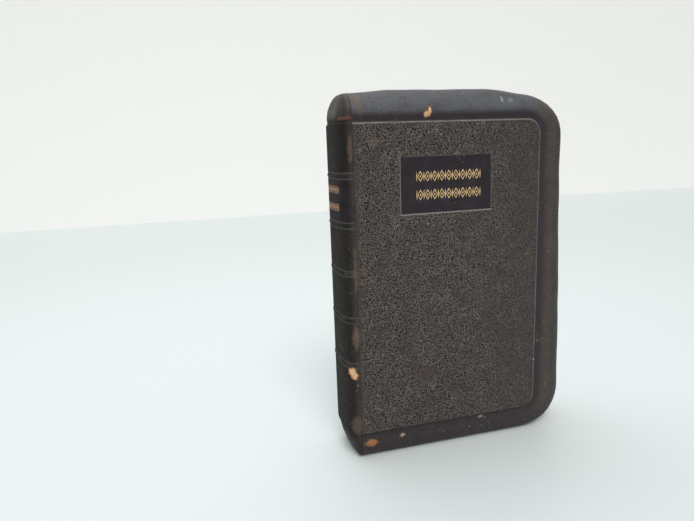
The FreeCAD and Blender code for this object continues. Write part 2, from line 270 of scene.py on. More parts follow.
# each flap: reach beyond the panel, flat part beside the valley, height of the turn, lean of the lip
TAIL_FLAP = (panel_foot, 6.8 * MM, 6.4 * MM, 0.0)
FORE_FLAP = (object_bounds()[1][0] - panel_right, 5.6 * MM, 5.4 * MM, 0.6 * MM)
HEAD_FLAP = (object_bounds()[1][2] - panel_head + 0.6 * MM, 3.6 * MM, 9.4 * MM, 0.4 * MM)
LABEL_NEAR, LABEL_FAR = 21.5 * MM, 66.6 * MM    # from the joint
LABEL_FOOT, LABEL_TOP = 41.0 * MM, 15.3 * MM    # down from the panel's head
label_low = Vector((joint_x + LABEL_NEAR, 0, panel_head - LABEL_FOOT))
label_high = Vector((joint_x + LABEL_FAR, 0, panel_head - LABEL_TOP))
LABEL_DEPTH = 0.25 * MM
LEATHER_SLACK = 0.10 * MM   # how far the panel's leather lies below its box on average
LABEL_EDGE = 0.5 * MM       # border round the label painted pale: wear, and a painted highlight on its lower and left edges, which face the light
band_heights = [(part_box(f"raised_band_{n}")[0].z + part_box(f"raised_band_{n}")[1].z) / 2 for n in range(1, 6)]
BLIND_LINES = (1.3 * MM,)


def smooth(value, low, high):
    share = np.clip((value - low) / (high - low), 0, 1)
    return share * share * (3 - 2 * share)


def between(value, low, high, before, after):
    """1 from low to high; each end fades over a width outside and a width inside the range."""
    return smooth(value, low - before, low + after) * (1 - smooth(value, high - after, high + before))


def ridge(value, middle, half_width):
    """1 at the middle, falling smoothly to 0 at half a width from it."""
    return 1 - smooth(np.abs(value - middle), 0, half_width)


def grid_lines(low, high, pitch, extra):
    """Evenly spaced values from low to high, with extra ones put in and crowded ones left out."""
    kept = sorted(e for e in extra if low + 0.1 * MM < e < high - 0.1 * MM)
    even = np.linspace(low, high, round((high - low) / pitch) + 1)
    clear = [v for v in even[1:-1] if all(abs(v - e) > 0.35 * pitch for e in kept)]
    return np.array(sorted([low, *kept, *clear, high]))


def around(middle, offsets):
    return [middle + side * offset for offset in offsets for side in (-1, 1)]


edge_offsets = [0.12 * MM, 0.4 * MM]
column_lines = grid_lines(
    0, panel_right - STEP_INSET - joint_x, 1.0 * MM,
    [e - joint_x for x in (label_low.x, label_high.x) for e in around(x, edge_offsets)],
)
band_offsets = [0.2 * MM, 0.7 * MM, 1.1 * MM, 1.5 * MM, 1.9 * MM]
band_offsets += [line + s * 0.22 * MM for line in BLIND_LINES for s in (-1, 0, 1)]
row_lines = grid_lines(
    panel_foot + STEP_INSET, panel_head - STEP_INSET, 1.0 * MM,
    [e for z in (label_low.z, label_high.z) for e in around(z, edge_offsets)]
    + [e for z in band_heights for e in around(z, band_offsets)],
)
columns, rows = len(column_lines), len(row_lines)
flat_width = panel_right - STEP_INSET - joint_x
flat_height = panel_head - panel_foot - 2 * STEP_INSET
across = column_lines / flat_width
upward = (row_lines - row_lines[0]) / flat_height


def panel_rim():
    """Points and outward normals along the panel's tail, fore edge and head, tail joint first."""
    radius = CORNER - STEP_INSET
    cut = radius * (1 - math.sqrt(0.5))
    x = across * (flat_width - cut)
    bend = np.clip(x - (flat_width - radius), 0, None)
    drop = radius - np.sqrt(radius**2 - bend**2)
    foot = np.stack([joint_x + x, row_lines[0] + drop], 1)
    foot_normal = np.stack([bend / radius, -np.sqrt(1 - (bend / radius) ** 2)], 1)
    z = cut + upward * (flat_height - 2 * cut)
    low, high = np.clip(radius - z, 0, None), np.clip(z - flat_height + radius, 0, None)
    lean = (high - low) / radius
    side_x = joint_x + flat_width - radius + radius * np.sqrt(1 - lean**2)
    side = np.stack([side_x, row_lines[0] + z], 1)
    side_normal = np.stack([np.sqrt(1 - lean**2), lean], 1)
    head = foot[::-1] * (1, -1) + (0, row_lines[0] + row_lines[-1])
    head_normal = foot_normal[::-1] * (1, -1)
    return np.vstack([foot, side[1:], head[1:]]), np.vstack([foot_normal, side_normal[1:], head_normal[1:]])


rim, rim_normal = panel_rim()
tail_share = np.clip(-rim_normal[:, 1], 0, 1) ** 2
head_share = np.clip(rim_normal[:, 1], 0, 1) ** 2
fore_share = 1 - tail_share - head_share


def patch(boundary):
    """A grid of points that fills a rim, ruled between its four sides."""
    foot = boundary[:columns]
    side = boundary[columns - 1:columns + rows - 1]
    head = boundary[columns + rows - 2:][::-1]
    spine = foot[0] + upward[:, None] * (head[0] - foot[0])
    u, v = across[:, None, None], upward[None, :, None]
    ruled = (1 - v) * foot[:, None] + v * head[:, None] + (1 - u) * spine[None] + u * side[None]
    return ruled - (
        (1 - u) * (1 - v) * foot[0] + u * (1 - v) * foot[-1] + (1 - u) * v * head[0] + u * v * head[-1]
    )


GROOVE = np.array([-0.9, -0.6, -0.4, -0.25, -0.1, 0.05, 0.2, 0.4, 0.7, 1.1, 1.6, 2.2, 3.0]) * MM
TURN_STEPS = 16
SIDE_STEPS = 6


def flap_profile(flaps, wall, root):
    """Reach and height of the flap's outer face, one row for each place along the rim.

    With a wall it gives the inner face instead, which starts from a height called the root.
    """
    reach, flat, turn, lean = flaps.T[:, :, None]
    crown = panel_y - STEP_DROP + 0.75 * MM
    share = (GROOVE[None] - GROOVE[0]) / (3.0 * MM - GROOVE[0])
    groove_reach = GROOVE[0] + share * (np.maximum(flat, 3.0 * MM) - GROOVE[0])
    groove_reach = np.where(GROOVE[None] < 1.0 * MM, GROOVE[None], groove_reach)
    if wall:
        groove_height = root + smooth(groove_reach, GROOVE[0], flat) * (crown - wall - root)
    else:
        groove_height = panel_y - STEP_DROP * smooth(GROOVE[None], -0.45 * MM, 0.5 * MM)
        groove_height = groove_height + (crown - panel_y + STEP_DROP) * smooth(groove_reach, 0.7 * MM, flat)
    angle = np.linspace(0, math.pi / 2, TURN_STEPS + 1)[None, 1:]
    turn_reach = flat + (reach - wall - flat) * np.sin(angle)
    turn_height = crown - turn + (turn - wall) * np.cos(angle)
    fall = np.linspace(0, 1, SIDE_STEPS + 1)[None, 1:]
    lip_height = SLIT + FLAP_WALL / 2
    side_reach = reach - wall - lean * fall**2
    side_height = (crown - turn) + (lip_height - crown + turn) * fall

    def joined(*parts):
        return np.hstack([np.broadcast_to(part, (len(flaps), part.shape[1])) for part in parts])

    return joined(groove_reach, turn_reach, side_reach), joined(groove_height, turn_height, side_height)


def wobble(x, y, z, scale, seed):
    """Smooth noise from -1 to 1 at many points."""
    size = 1 / scale
    points = zip(np.ravel(x * size), np.ravel(y * size), np.ravel(z * size))
    return np.array([noise.noise(Vector(p) + Vector((seed, 0, 0))) for p in points]).reshape(np.shape(x))


def rim_flaps():
    """The four flap sizes at each place along the rim."""
    parts = ((tail_share, TAIL_FLAP), (fore_share, FORE_FLAP), (head_share, HEAD_FLAP))
    shares = sum(share[:, None] * flap for share, flap in parts)
    corner = 4 * rim_normal[:, 0] ** 2 * rim_normal[:, 1] ** 2
    shares[:, 0] += 1.0 * MM * corner * (rim_normal[:, 1] < 0)
    along = (rim[:, 0] - joint_x) / (panel_right - joint_x)
    sag = 1.3 * (1 - smooth(along, 0, 0.22)) + 3.2 * smooth(along, 0.70, 1.06)
    shares[:, 0] -= sag * MM * head_share
    shares[:, 0] += 2.9 * MM * fore_share * (1 - smooth(rim[:, 1], panel_foot + 17 * MM, panel_head - 7 * MM))
    return shares


flap_sizes = rim_flaps()


def link(name, points, faces, shades):
    """A smooth mesh object with one float attribute for each named shade."""
    mesh = bpy.data.meshes.new(name)
    mesh.from_pydata(points.tolist(), [], faces)
    for label, values in shades.items():
        mesh.attributes.new(label, "FLOAT", "POINT").data.foreach_set("value", np.asarray(values, np.float32))
    mesh.polygons.foreach_set("use_smooth", [True] * len(mesh.polygons))
    mesh.update()
    thing = bpy.data.objects.new(name, mesh)
    bpy.context.scene.collection.objects.link(thing)
    return thing


def grid_faces(start, lengths, flip=False):
    """Quads over a grid of points stored row by row from a start."""
    many, each = lengths
    faces = []
    for i in range(many - 1):
        for j in range(each - 1):
            a, d = start + i * each + j, start + (i + 1) * each + j
            b, c = a + 1, d + 1
            faces.append((d, c, b, a) if flip else (a, b, c, d))
    return faces


def outward(thing):
    """Turns every face of a closed mesh to look outwards."""
    work = bmesh.new()
    work.from_mesh(thing.data)
    bmesh.ops.recalc_face_normals(work, faces=work.faces)
    work.to_mesh(thing.data)
    work.free()


def as_points(x, y, z):
    return np.stack([x.ravel(), y.ravel(), z.ravel()], 1)


def cover_leather(name, side, labelled):
    """The leather of one cover; side is -1 in front and 1 at the back."""
    tail, fore, head = (share[:, None] for share in (tail_share, fore_share, head_share))
    flat = patch(rim)
    x, z = flat[..., 0], flat[..., 1]
    height = np.full(x.shape, panel_y) + 0.12 * MM * wobble(x, 0 * x, z, 35 * MM, 3 + side)
    height -= LEATHER_SLACK
    inside = np.zeros(x.shape)
    if labelled:
        soft = 0.14 * MM
        inside = between(x, label_low.x, label_high.x, soft, soft)
        inside = inside * between(z, label_low.z, label_high.z, soft, soft)
    height = height - LABEL_DEPTH * inside
    edge = smooth(x, joint_x, joint_x + 3 * MM)
    height = height * edge + panel_y * (1 - edge)
    joint_rub = 1 - smooth(x, joint_x - 0.5 * MM, joint_x + 2.2 * MM)
    rub_edge = 0.6 * np.clip(wobble(x, 0 * x, z, 5 * MM, 9), 0, 1)
    shades = {
        "label": inside, "grain": (1 - inside) * (1 - 0.9 * joint_rub), "rub_and_painted_highlight": joint_rub * (0.6 + rub_edge),
        "edge_wear_and_painted_highlight": np.zeros(x.shape), "painted_shade": np.zeros(x.shape), "painted_sheen": np.zeros(x.shape),
    }
    if labelled:
        near_x = between(x, label_low.x, label_high.x, LABEL_EDGE, 0)
        near_z = between(z, label_low.z, label_high.z, LABEL_EDGE, 0)
        # painted highlight: the label's lower and left edges, which face the light, are painted pale; its right
        # and upper edges only faintly
        shades["edge_wear_and_painted_highlight"] = shades["edge_wear_and_painted_highlight"] + 1.0 * near_x * ridge(z, label_low.z - 0.05 * MM, 0.38 * MM)
        shades["edge_wear_and_painted_highlight"] += 0.7 * near_z * ridge(x, label_low.x - 0.05 * MM, 0.4 * MM)
        shades["edge_wear_and_painted_highlight"] += 0.2 * near_z * ridge(x, label_high.x, 0.4 * MM)
        shades["edge_wear_and_painted_highlight"] += 0.15 * near_x * ridge(z, label_high.z, 0.4 * MM)

    outer_reach, outer_height = flap_profile(flap_sizes, 0.0, 0.0)
    inner_reach, inner_height = flap_profile(flap_sizes, FLAP_WALL, BOARD_FACE + 0.15 * MM)
    lip_angle = np.linspace(0, math.pi, 7)[None, 1:-1]
    lip_reach = outer_reach[:, -1:] - FLAP_WALL / 2 * (1 - np.cos(lip_angle))
    lip_height = outer_height[:, -1:] - FLAP_WALL / 2 * np.sin(lip_angle)
    ends = np.array([[-2.5, -TURN_IN / MM, -TURN_IN / MM]]) * MM
    tuck = np.array([[BOARD_FACE, BOARD_FACE, panel_y - leather_thick - 0.05 * MM]])
    count = len(rim)
    reach = np.hstack([outer_reach[:, 1:], lip_reach, inner_reach[:, ::-1], np.repeat(ends, count, 0)])
    high = np.hstack([outer_height[:, 1:], lip_height, inner_height[:, ::-1], np.repeat(tuck, count, 0)])
    depth = reach - GROOVE[0]
    px = rim[:, :1] + rim_normal[:, :1] * depth
    pz = rim[:, 1:] + rim_normal[:, 1:] * depth
    loose = smooth(reach, 1.5 * MM, 9 * MM) * (1 - 0.85 * tail) * smooth(px, joint_x, joint_x + 5 * MM)
    sway = wobble(px, 0 * px, pz, 16 * MM, 5 + side) + 0.5 * wobble(px, high, pz, 6 * MM, 8 + side)
    high = high + 0.28 * MM * sway * loose * (high > SLIT * 1.6)
    shift = 0.25 * MM * wobble(rim[:, :1], 0 * rim[:, :1], rim[:, 1:], 14 * MM, 2 + side)
    shift = shift * loose * (1 - tail)
    px, pz = px + rim_normal[:, :1] * shift, pz + rim_normal[:, 1:] * shift

    outer = np.arange(reach.shape[1])[None] < outer_reach.shape[1] + 2
    step = ridge(reach, -0.30 * MM, 0.50 * MM) * outer
    # painted highlight and wear: the panel's edge is painted pale, full at the head and fore edge, which face
    # the light, and faint at the tail, which faces down
    step_highlight_and_wear = head * 1.0 + fore * 0.95 + tail * 0.15
    lip_worn = ridge(high, SLIT, 2.0 * MM) * 0.35
    joint_fade = 1 - smooth(px, joint_x, joint_x + 4 * MM)
    tail_corner = joint_fade * tail
    # painted shade: the valley beside the panel's edge is painted dark where shade falls in it, fading past the
    # valley, weaker at the tail, with a flat share at the tail corner by the joint
    past_groove = (1 - 0.6 * tail) * smooth(reach, 2.0 * MM, 4.5 * MM)
    painted_shade = smooth(reach, 0.0, 0.5 * MM) * (1 - past_groove) * (1 - 0.35 * tail) * outer
    painted_shade = painted_shade * (1 - tail_corner) + 0.45 * tail_corner * outer
    turned = smooth(reach, 7.5 * MM, 11.5 * MM)
    corner = 4 * rim_normal[:, :1] ** 2 * rim_normal[:, 1:] ** 2 * (rim_normal[:, 1:] > 0)
    flap_grain = head * 0.65 + fore * 0.65 + tail * 0.4
    bulge = ridge(reach, 7.0 * MM, 4.6 * MM)
    rim_shades = {
        "label": 0 * reach,
        "grain": np.where(reach < 0, 1 - step, flap_grain * (1 - 0.8 * painted_shade)) * (1 - 0.8 * joint_fade),
        # rubbed turns, corners and joint, and a painted highlight: the fore flap's bulge is painted lighter
        # where it rounds towards the light
        "rub_and_painted_highlight": np.clip(
            turned * (0.30 * head + 0.15 * tail) + 0.75 * bulge * fore
            + 0.9 * corner * smooth(reach, 3 * MM, 8 * MM) * (1 - smooth(reach, 11 * MM, 14 * MM))
            + joint_fade * (0.7 * head + 0.28 * tail), 0, 1) * outer,
        "edge_wear_and_painted_highlight": step * step_highlight_and_wear * (0.75 + 0.35 * wobble(px, 0 * px, pz, 4 * MM, 11)) + lip_worn * outer,
        "painted_shade": painted_shade,
        # painted sheen: the head flap's turn is painted a pale bluish grey, a painted reflection of the bright
        # room above
        "painted_sheen": (head * smooth(reach, 2 * MM, 6 * MM)) * outer,
    }

    under = patch(np.stack([px[:, -1], pz[:, -1]], 1))
    under_height = np.full(under.shape[:2], tuck[0, -1])
    first = columns * rows
    ring = reach.shape[1]
    points = np.vstack([
        as_points(x, side * height, z), as_points(px, side * high, pz),
        as_points(under[..., 0], side * under_height, under[..., 1]),
    ])
    faces = grid_faces(0, (columns, rows)) + grid_faces(first, (count, ring))
    border = [i * rows for i in range(columns)]
    border += [(columns - 1) * rows + j for j in range(1, rows)]
    border += [i * rows + rows - 1 for i in range(columns - 2, -1, -1)]
    last = first + count * ring
    for k in range(count - 1):
        a, b = border[k], border[k + 1]
        c, d = first + (k + 1) * ring, first + k * ring
        faces.append((a, b, c, d))
    # the underside shares the last ring of the turn-in
    under_index = last + np.arange(columns * rows)
    under_index[border] = first + np.arange(count) * ring + ring - 1
    faces += [[int(under_index[v]) for v in face] for face in grid_faces(0, (columns, rows))]
    head_end = first + (count - 1) * ring
    cap = [border[0]] + [first + m for m in range(ring)]
    cap += [int(under_index[j]) for j in range(1, rows - 1)]
    cap += [head_end + m for m in range(ring - 1, -1, -1)] + [rows - 1 - j for j in range(rows - 1)]
    faces.append(cap)
    merged = {}
    for label in shades:
        bare_under = np.zeros(under[..., 0].size)
        merged[label] = np.concatenate([shades[label].ravel(), rim_shades[label].ravel(), bare_under])
    used = np.unique(np.concatenate([np.asarray(face) for face in faces]))
    renumber = np.zeros(len(points), int)
    renumber[used] = np.arange(len(used))
    faces = [[int(renumber[v]) for v in face] for face in faces]
    thing = link(name, points[used], faces, {label: values[used] for label, values in merged.items()})
    outward(thing)
    return thing


# spots where the dye is gone: middle from the head joint in mm, half sizes in mm
BARE_SPOTS = (
    ((-3.6, 1.2, -112.2), (2.0, 3.0, 2.3)),
    ((-2.6, 1.2, -114.2), (1.6, 3.0, 2.0)),
    ((34.8, 1.0, 3.0), (1.7, 3.0, 1.4)),
    ((36.0, 1.0, 4.6), (0.9, 3.0, 1.6)),
)
# spots rubbed to another colour
RUBBED_SPOTS = (
    ((-3.2, 2.4, 2.0), (3.6, 4.0, 0.9), (0.16, 0.065, 0.045)),
    ((3.6, 4.0, 7.6), (2.2, 6.0, 5.6), (0.115, 0.092, 0.072)),
    ((-1.2, 1.0, -11.0), (1.2, 3.0, 6.0), (0.13, 0.080, 0.060)),
    ((-0.6, 1.0, -64.0), (0.9, 3.0, 14.0), (0.11, 0.072, 0.058)),
    ((-1.4, 1.5, -96.0), (1.8, 4.0, 6.0), (0.12, 0.085, 0.066)),
    ((-2.0, 1.5, -139.0), (2.6, 4.0, 5.0), (0.10, 0.070, 0.052)),
    ((9.5, 0.5, -8.5), (2.2, 1.0, 2.2), (0.12, 0.083, 0.070)),
    ((66.0, 0.5, -88.0), (3.2, 1.0, 3.4), (0.060, 0.040, 0.034)),
    ((34.0, 0.5, -118.0), (5.0, 1.0, 4.0), (0.058, 0.037, 0.032)),
    ((4.6, 1.8, -149.2), (3.6, 2.6, 1.9), (0.36, 0.155, 0.050)),
    ((20.4, 1.4, -148.0), (1.5, 2.0, 1.0), (0.34, 0.26, 0.17)),
    ((62.5, 1.0, -145.6), (1.6, 2.0, 0.7), (0.33, 0.20, 0.13)),
    ((91.9, 1.0, -119.0), (0.55, 1.5, 0.55), (0.60, 0.58, 0.55)),
    ((72.5, 3.0, 8.8), (0.8, 3.0, 1.7), (0.27, 0.28, 0.28)),
    ((77.0, 3.0, 8.4), (1.6, 3.0, 1.3), (0.17, 0.17, 0.17)),
)


def leather(name, shine, painted_shade_colour):
    """Worn black-brown leather: a light network of grain round dark pits, rubbed edges and dust, with painted
    shade in valleys and over the spine, painted highlights on edges and a painted bluish sheen.
    """
    material, shader, point, attribute = new_material(name)

    def within(middle, half):
        """How far a point lies from the middle of a spot: 1 on its rim."""
        centre = tuple(head_joint + Vector(middle) * MM)
        apart = point.vector("SUBTRACT", centre).vector("DIVIDE", tuple(Vector(half) * MM))
        return apart.vector("LENGTH", (0, 0, 0), "Value")

    stir = point.node("ShaderNodeTexNoise", {}, {"Vector": point, "Scale": 520.0, "Detail": 2.0}, "Color")
    stir = stir.node("ShaderNodeVectorMath", {"operation": "SCALE"}, {0: stir, "Scale": 0.0014})
    bent = point.vector("ADD", stir)
    pit = bent.cells(1250.0, "SMOOTH_F1", "Distance").rise(0.47, 0.25)
    ridge_line = bent.cells(1250.0, "DISTANCE_TO_EDGE", "Distance").rise(0.22, 0.05)
    fine = point.noise(2600.0, 3.0, 0.6)
    broad = point.noise(28.0, 4.0, 0.6)
    patchy = point.noise(170.0, 3.0, 0.6)
    grain = attribute("grain")
    rub_and_painted_highlight, edge_wear_and_painted_highlight, painted_shade = attribute("rub_and_painted_highlight"), attribute("edge_wear_and_painted_highlight"), attribute("painted_shade")
    label, painted_sheen = attribute("label"), attribute("painted_sheen")
    towards_edge = point.axis("x").rise(panel_right - 45 * MM, panel_right + 4 * MM)

    pit = pit * grain * (patchy.rise(0.25, 0.6) * 0.25 + 0.75) * (towards_edge * -0.35 + 1.0)
    top = ridge_line * grain * (patchy.rise(0.3, 0.7) * 0.35 + 0.65) * (towards_edge * -0.45 + 1.0)
    colour = flat_colour(point, (0.012, 0.0096, 0.0088)).tint(broad.rise(0.35, 0.7), (0.019, 0.0150, 0.0130))
    colour = colour.tint(towards_edge * 0.5, (0.036, 0.028, 0.029))
    colour = colour.tint(patchy.rise(0.55, 0.8) * 0.4, (0.024, 0.020, 0.020))
    colour = colour.tint(top * 0.9, (0.150, 0.125, 0.108))
    colour = colour.tint(pit, (0.0015, 0.0012, 0.0015))
    # painted sheen: a bluish grey painted reflection on the head flap and the spine caps
    colour = colour.tint(painted_sheen * (patchy.rise(0.2, 0.8) * 0.5 + 0.45), (0.096, 0.104, 0.122))
    # rubbed brown on joints, corners and turns, and a painted highlight on the fore flap's bulge
    colour = colour.tint(rub_and_painted_highlight * (patchy.rise(0.25, 0.75) * 0.6 + 0.4), (0.074, 0.056, 0.046))
    # painted shade: darkened in the valleys beside the panel, in the blind lines and over the spine's body
    colour = colour.tint(painted_shade * 0.85, painted_shade_colour)
    smooth_skin = flat_colour(point, (0.0140, 0.0092, 0.0140))
    smooth_skin = smooth_skin.tint(patchy.rise(0.45, 0.75) * 0.6, (0.034, 0.027, 0.036))
    colour = colour.tint(label * 0.95, smooth_skin)
    # pale worn edges and lips, with painted highlights on the edges that face the light
    colour = colour.tint(edge_wear_and_painted_highlight * (fine.rise(0.25, 0.6) * 0.5 + 0.5), (0.30, 0.28, 0.255))

    ragged = (point.noise(700.0, 3.0, 0.7) - 0.5) * 1.3
    for middle, half, paint in RUBBED_SPOTS:
        here = (within(middle, half) + ragged * 0.9).rise(1.25, 0.55)
        colour = colour.tint(here * (patchy.rise(0.2, 0.6) * 0.4 + 0.5), paint)
    bare = torn = None
    for middle, half in BARE_SPOTS:
        apart = within(middle, half) + ragged
        here, deep = apart.rise(1.10, 0.95), apart.rise(0.85, 0.55)
        bare, torn = (here, deep) if bare is None else (bare.most(here), torn.most(deep))
    fibres = point.vector("MULTIPLY", (2.2, 1.0, 0.7)).noise(900.0, 2.0)
    tan = flat_colour(point, (0.40, 0.175, 0.060)).tint(torn, (0.58, 0.35, 0.20))
    tan = tan.tint(torn * fibres.rise(0.5, 0.62), (0.72, 0.58, 0.46))
    colour = colour.tint(bare, tan)

    slanted = point.vector("MULTIPLY", (1.0, 1.0, 0.45))
    line = (slanted.noise(70.0, 2.0, 0.6) - 0.5).maths("ABSOLUTE").rise(0.010, 0.002)
    scratch = line * point.noise(75.0, 2.0).rise(0.60, 0.68)
    colour = colour.tint(scratch * 0.5 * (label * -0.8 + 1.0), (0.17, 0.155, 0.135))
    scuff = point.noise(380.0, 5.0, 0.85).rise(0.58, 0.72) * broad.rise(0.38, 0.55)
    colour = colour.tint(scuff * 0.5 * (label * -0.6 + 1.0), (0.17, 0.152, 0.130))
    dust = point.cells(300.0, "F1", "Distance").rise(0.13, 0.05) * point.noise(90.0).rise(0.52, 0.62)
    colour = colour.tint(dust * 0.75, (0.34, 0.33, 0.30))

    roughness = fine * 0.12 + pit * 0.2 + painted_shade * 0.28 - rub_and_painted_highlight * 0.05 - label * 0.04
    roughness = roughness + dust * 0.2 + bare * 0.3 + 0.46
    height = top * 0.35 - pit * 0.7 + fine * 0.10 + (patchy * 0.35) * (1 - grain) - bare * 0.8 - scratch * 0.2
    shader.inputs["Specular IOR Level"].default_value = shine
    finish_material(shader, point, colour, roughness, height, 0.00017)
    return material


# the cover's painted shade colour, a dark purplish brown painted into the valleys
COVER_SHINE, COVER_PAINTED_SHADE = 0.32, (0.034, 0.025, 0.033)
cover_hide = leather("pebbled_leather", COVER_SHINE, COVER_PAINTED_SHADE)


def hang_cover(name, side, labelled, where):
    thing = cover_leather(name, side, labelled)
    thing.data.materials.append(cover_hide)
    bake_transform(thing)
    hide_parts(f"{where}_cover_leather", f"{where}_joint_leather")


hang_cover("front_leather", -1, True, "front")


# ----------------------------------------
# Back cover leather: one piece with the front's skin round the spine, with the same panel and
# flaps turned towards the leaves but no label.
# ----------------------------------------
hang_cover("back_leather", 1, False, "back")


# ----------------------------------------
# Spine leather: drawn round the back over five cords, tooled with blind lines beside each, and
# folded in over head and tail as soft caps. The upper two compartments are rubbed smooth. Its
# body is painted dark as a painted shadow, and its caps have a little painted sheen.
# ----------------------------------------
SPINE_DEPTH = 6.0 * MM      # back of the spine beyond the joint line
SPINE_SQUARE = 3.0          # how square the shoulders are: 2 would be an ellipse
CAP_SLOPE = 0.40            # depth lost at the caps for each unit of half thickness
BAND_RISE = 0.28 * MM
LINE_DEPTH = 0.12 * MM
TAIL_TUCK = 3.4 * MM        # how far the leather is pressed in at the tail and at the head
HEAD_TUCK = 1.4 * MM
SPINE_STEPS = 52
SPINE_SHINE, SPINE_PAINTED_SHADE = 0.17, (0.0125, 0.0102, 0.0092)     # duller than the covers, with a darker painted shade, a painted shadow over the spine


def spine_path(half, depth):
    """Points from the front joint round the back to the other joint, evenly spaced."""
    t = np.linspace(0, math.pi, 721)
    y = -half * np.sign(np.cos(t)) * np.abs(np.cos(t)) ** (2 / SPINE_SQUARE)
    x = -depth * np.sin(t) ** (2 / SPINE_SQUARE)
    length = np.concatenate([[0], np.cumsum(np.hypot(np.diff(x), np.diff(y)))])
    even = np.linspace(0, length[-1], SPINE_STEPS + 1)
    return np.interp(even, length, x), np.interp(even, length, y)


def spine_skin(root):
    """Height and z of the line where a face of the leather crosses the joint, tail lip first."""
    ends = flap_sizes[[0, -1]]
    reach, high = flap_profile(ends, *root)
    tail_z = panel_foot - reach[0][::-1]
    head_z = panel_head + reach[1]
    flat = np.full(rows - 2, panel_y - (leather_thick if root[0] else 0.0))
    return (
        np.concatenate([high[0][::-1], flat, high[1]]),
        np.concatenate([tail_z, row_lines[1:-1], head_z]),
    )


def spine_face(root):
    heights, levels = spine_skin(root)
    line_x, line_y = [], []
    steps = np.linspace(0, 1, SPINE_STEPS + 1)
    away = smooth(np.sin(steps * math.pi), 0.08, 0.42)
    for half, level in zip(heights, levels):
        depth = SPINE_DEPTH - (leather_thick if root[0] else 0.0) - CAP_SLOPE * (panel_y - half)
        depth -= TAIL_TUCK * (1 - smooth(level, 0, 15 * MM)) + HEAD_TUCK * smooth(level, 156 * MM, 170 * MM)
        x, y = spine_path(half, max(depth, 0.5 * MM))
        lift = 0.0
        if not root[0]:
            lift = BAND_RISE * sum(ridge(level, z, 1.2 * MM) for z in band_heights)
            for z in band_heights:
                lift -= LINE_DEPTH * sum(ridge(abs(level - z), line, 0.3 * MM) for line in BLIND_LINES)
        slope_x, slope_y = np.gradient(x), np.gradient(y)
        size = np.hypot(slope_x, slope_y)
        x = x - lift * away * slope_y / size
        y = y + lift * away * slope_x / size
        line_x.append(x + joint_x)
        line_y.append(y)
    z = np.repeat(levels[:, None], SPINE_STEPS + 1, 1)
    return np.array(line_x), np.array(line_y), z


def spine_leather():
    x, y, z = spine_face((0.0, 0.0))
    tail_cap = 1 - smooth(z, panel_foot - 4 * MM, panel_foot)
    cap = smooth(z, panel_head, panel_head + 4 * MM) + tail_cap
    crumple = wobble(x, y, z, 5 * MM, 21) + 0.6 * wobble(x, y, z, 2.6 * MM, 22)
    steps = np.linspace(0, 1, SPINE_STEPS + 1)[None]
    away = smooth(np.sin(steps * math.pi), 0.0, 0.35) * (z > 1.0 * MM)
    x = x + 0.35 * MM * crumple * (cap + 0.6 * tail_cap) * away
    z = z + 0.30 * MM * crumple * np.clip(smooth(z, panel_head, panel_head + 4 * MM), 0, 1) * away
    inner_x, inner_y, inner_z = spine_face((FLAP_WALL, panel_y - leather_thick))
    many, each = x.shape
    points = np.vstack([as_points(x, y, z), as_points(inner_x, inner_y, inner_z)])
    inner = many * each
    faces = grid_faces(0, (many, each)) + grid_faces(inner, (many, each), flip=True)
    for start in (0, inner):
        for row in (0, many - 1):
            for i in range(SPINE_STEPS // 2):
                a, b = start + row * each + i, start + row * each + i + 1
                c, d = start + row * each + each - 2 - i, start + row * each + each - 1 - i
                faces.append((a, b, c, d) if b != c else (a, b, d))
    rim_loop = [row * each for row in range(many)]
    rim_loop += [row * each + each - 1 for row in range(many - 1, -1, -1)]
    for k in range(len(rim_loop)):
        a, b = rim_loop[k], rim_loop[(k + 1) % len(rim_loop)]
        faces.append((a, b, b + inner, a + inner))
    smooth_top = smooth(z, band_heights[1] - 1 * MM, band_heights[1] + 1 * MM)
    bands = sum(ridge(z, level, 1.6 * MM) for level in band_heights)
    shoulder = 1 - smooth(np.minimum(steps, 1 - steps) + 0 * z, 0.01, 0.11)
    tooled = sum(ridge(np.abs(z - level), line, 0.35 * MM) for level in band_heights for line in BLIND_LINES)
    shades = {
        "label": 0.75 * smooth_top * (1 - cap) * (1 - shoulder) * (z < band_heights[0]),
        "grain": np.clip((0.62 - 0.56 * smooth_top) * (1 - 0.6 * shoulder) * (1 - 0.6 * cap), 0, 1),
        "rub_and_painted_highlight": np.clip(0.7 * shoulder + 0.5 * cap + 0.25 * bands, 0, 1) * (1 - tail_cap) + 0.28 * tail_cap,
        "edge_wear_and_painted_highlight": np.clip(0.28 * tooled * (1 - cap) + 0.25 * bands * np.clip(crumple, 0, 1), 0, 1),
        # painted shade: the spine's body between the shoulders is painted dark as a painted shadow over it, the
        # tail cap partly; the blind lines are darkened as well
        "painted_shade": np.clip(
            0.5 * tooled * (1 - cap) + 0.95 * (1 - 0.8 * shoulder) * (1 - cap) + 0.45 * tail_cap, 0, 1
        ),
        # a little painted sheen on the caps, a painted reflection
        "painted_sheen": 0.2 * cap,
    }
    shades = {key: np.concatenate([values.ravel(), 0 * values.ravel()]) for key, values in shades.items()}
    thing = link("spine_cover", points, faces, shades)
    outward(thing)
    return thing


spine_cover = spine_leather()
spine_cover.data.materials.append(leather("spine_leather", SPINE_SHINE, SPINE_PAINTED_SHADE))
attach(spine_cover, "spine")
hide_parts("spine_leather")


# ----------------------------------------
# Label gilding: two rows of generic ornament, lozenges with a dot between spindles, stamped in
# gold leaf into the sunk label. It is too thin to stand above the leather.
# ----------------------------------------
GILT_LIFT = 0.035 * MM
ORNAMENT_ROWS = ((24.2 * MM, 31.5 * MM, 9), (32.4 * MM, 31.5 * MM, 9))
ROW_HEIGHT = 4.6 * MM


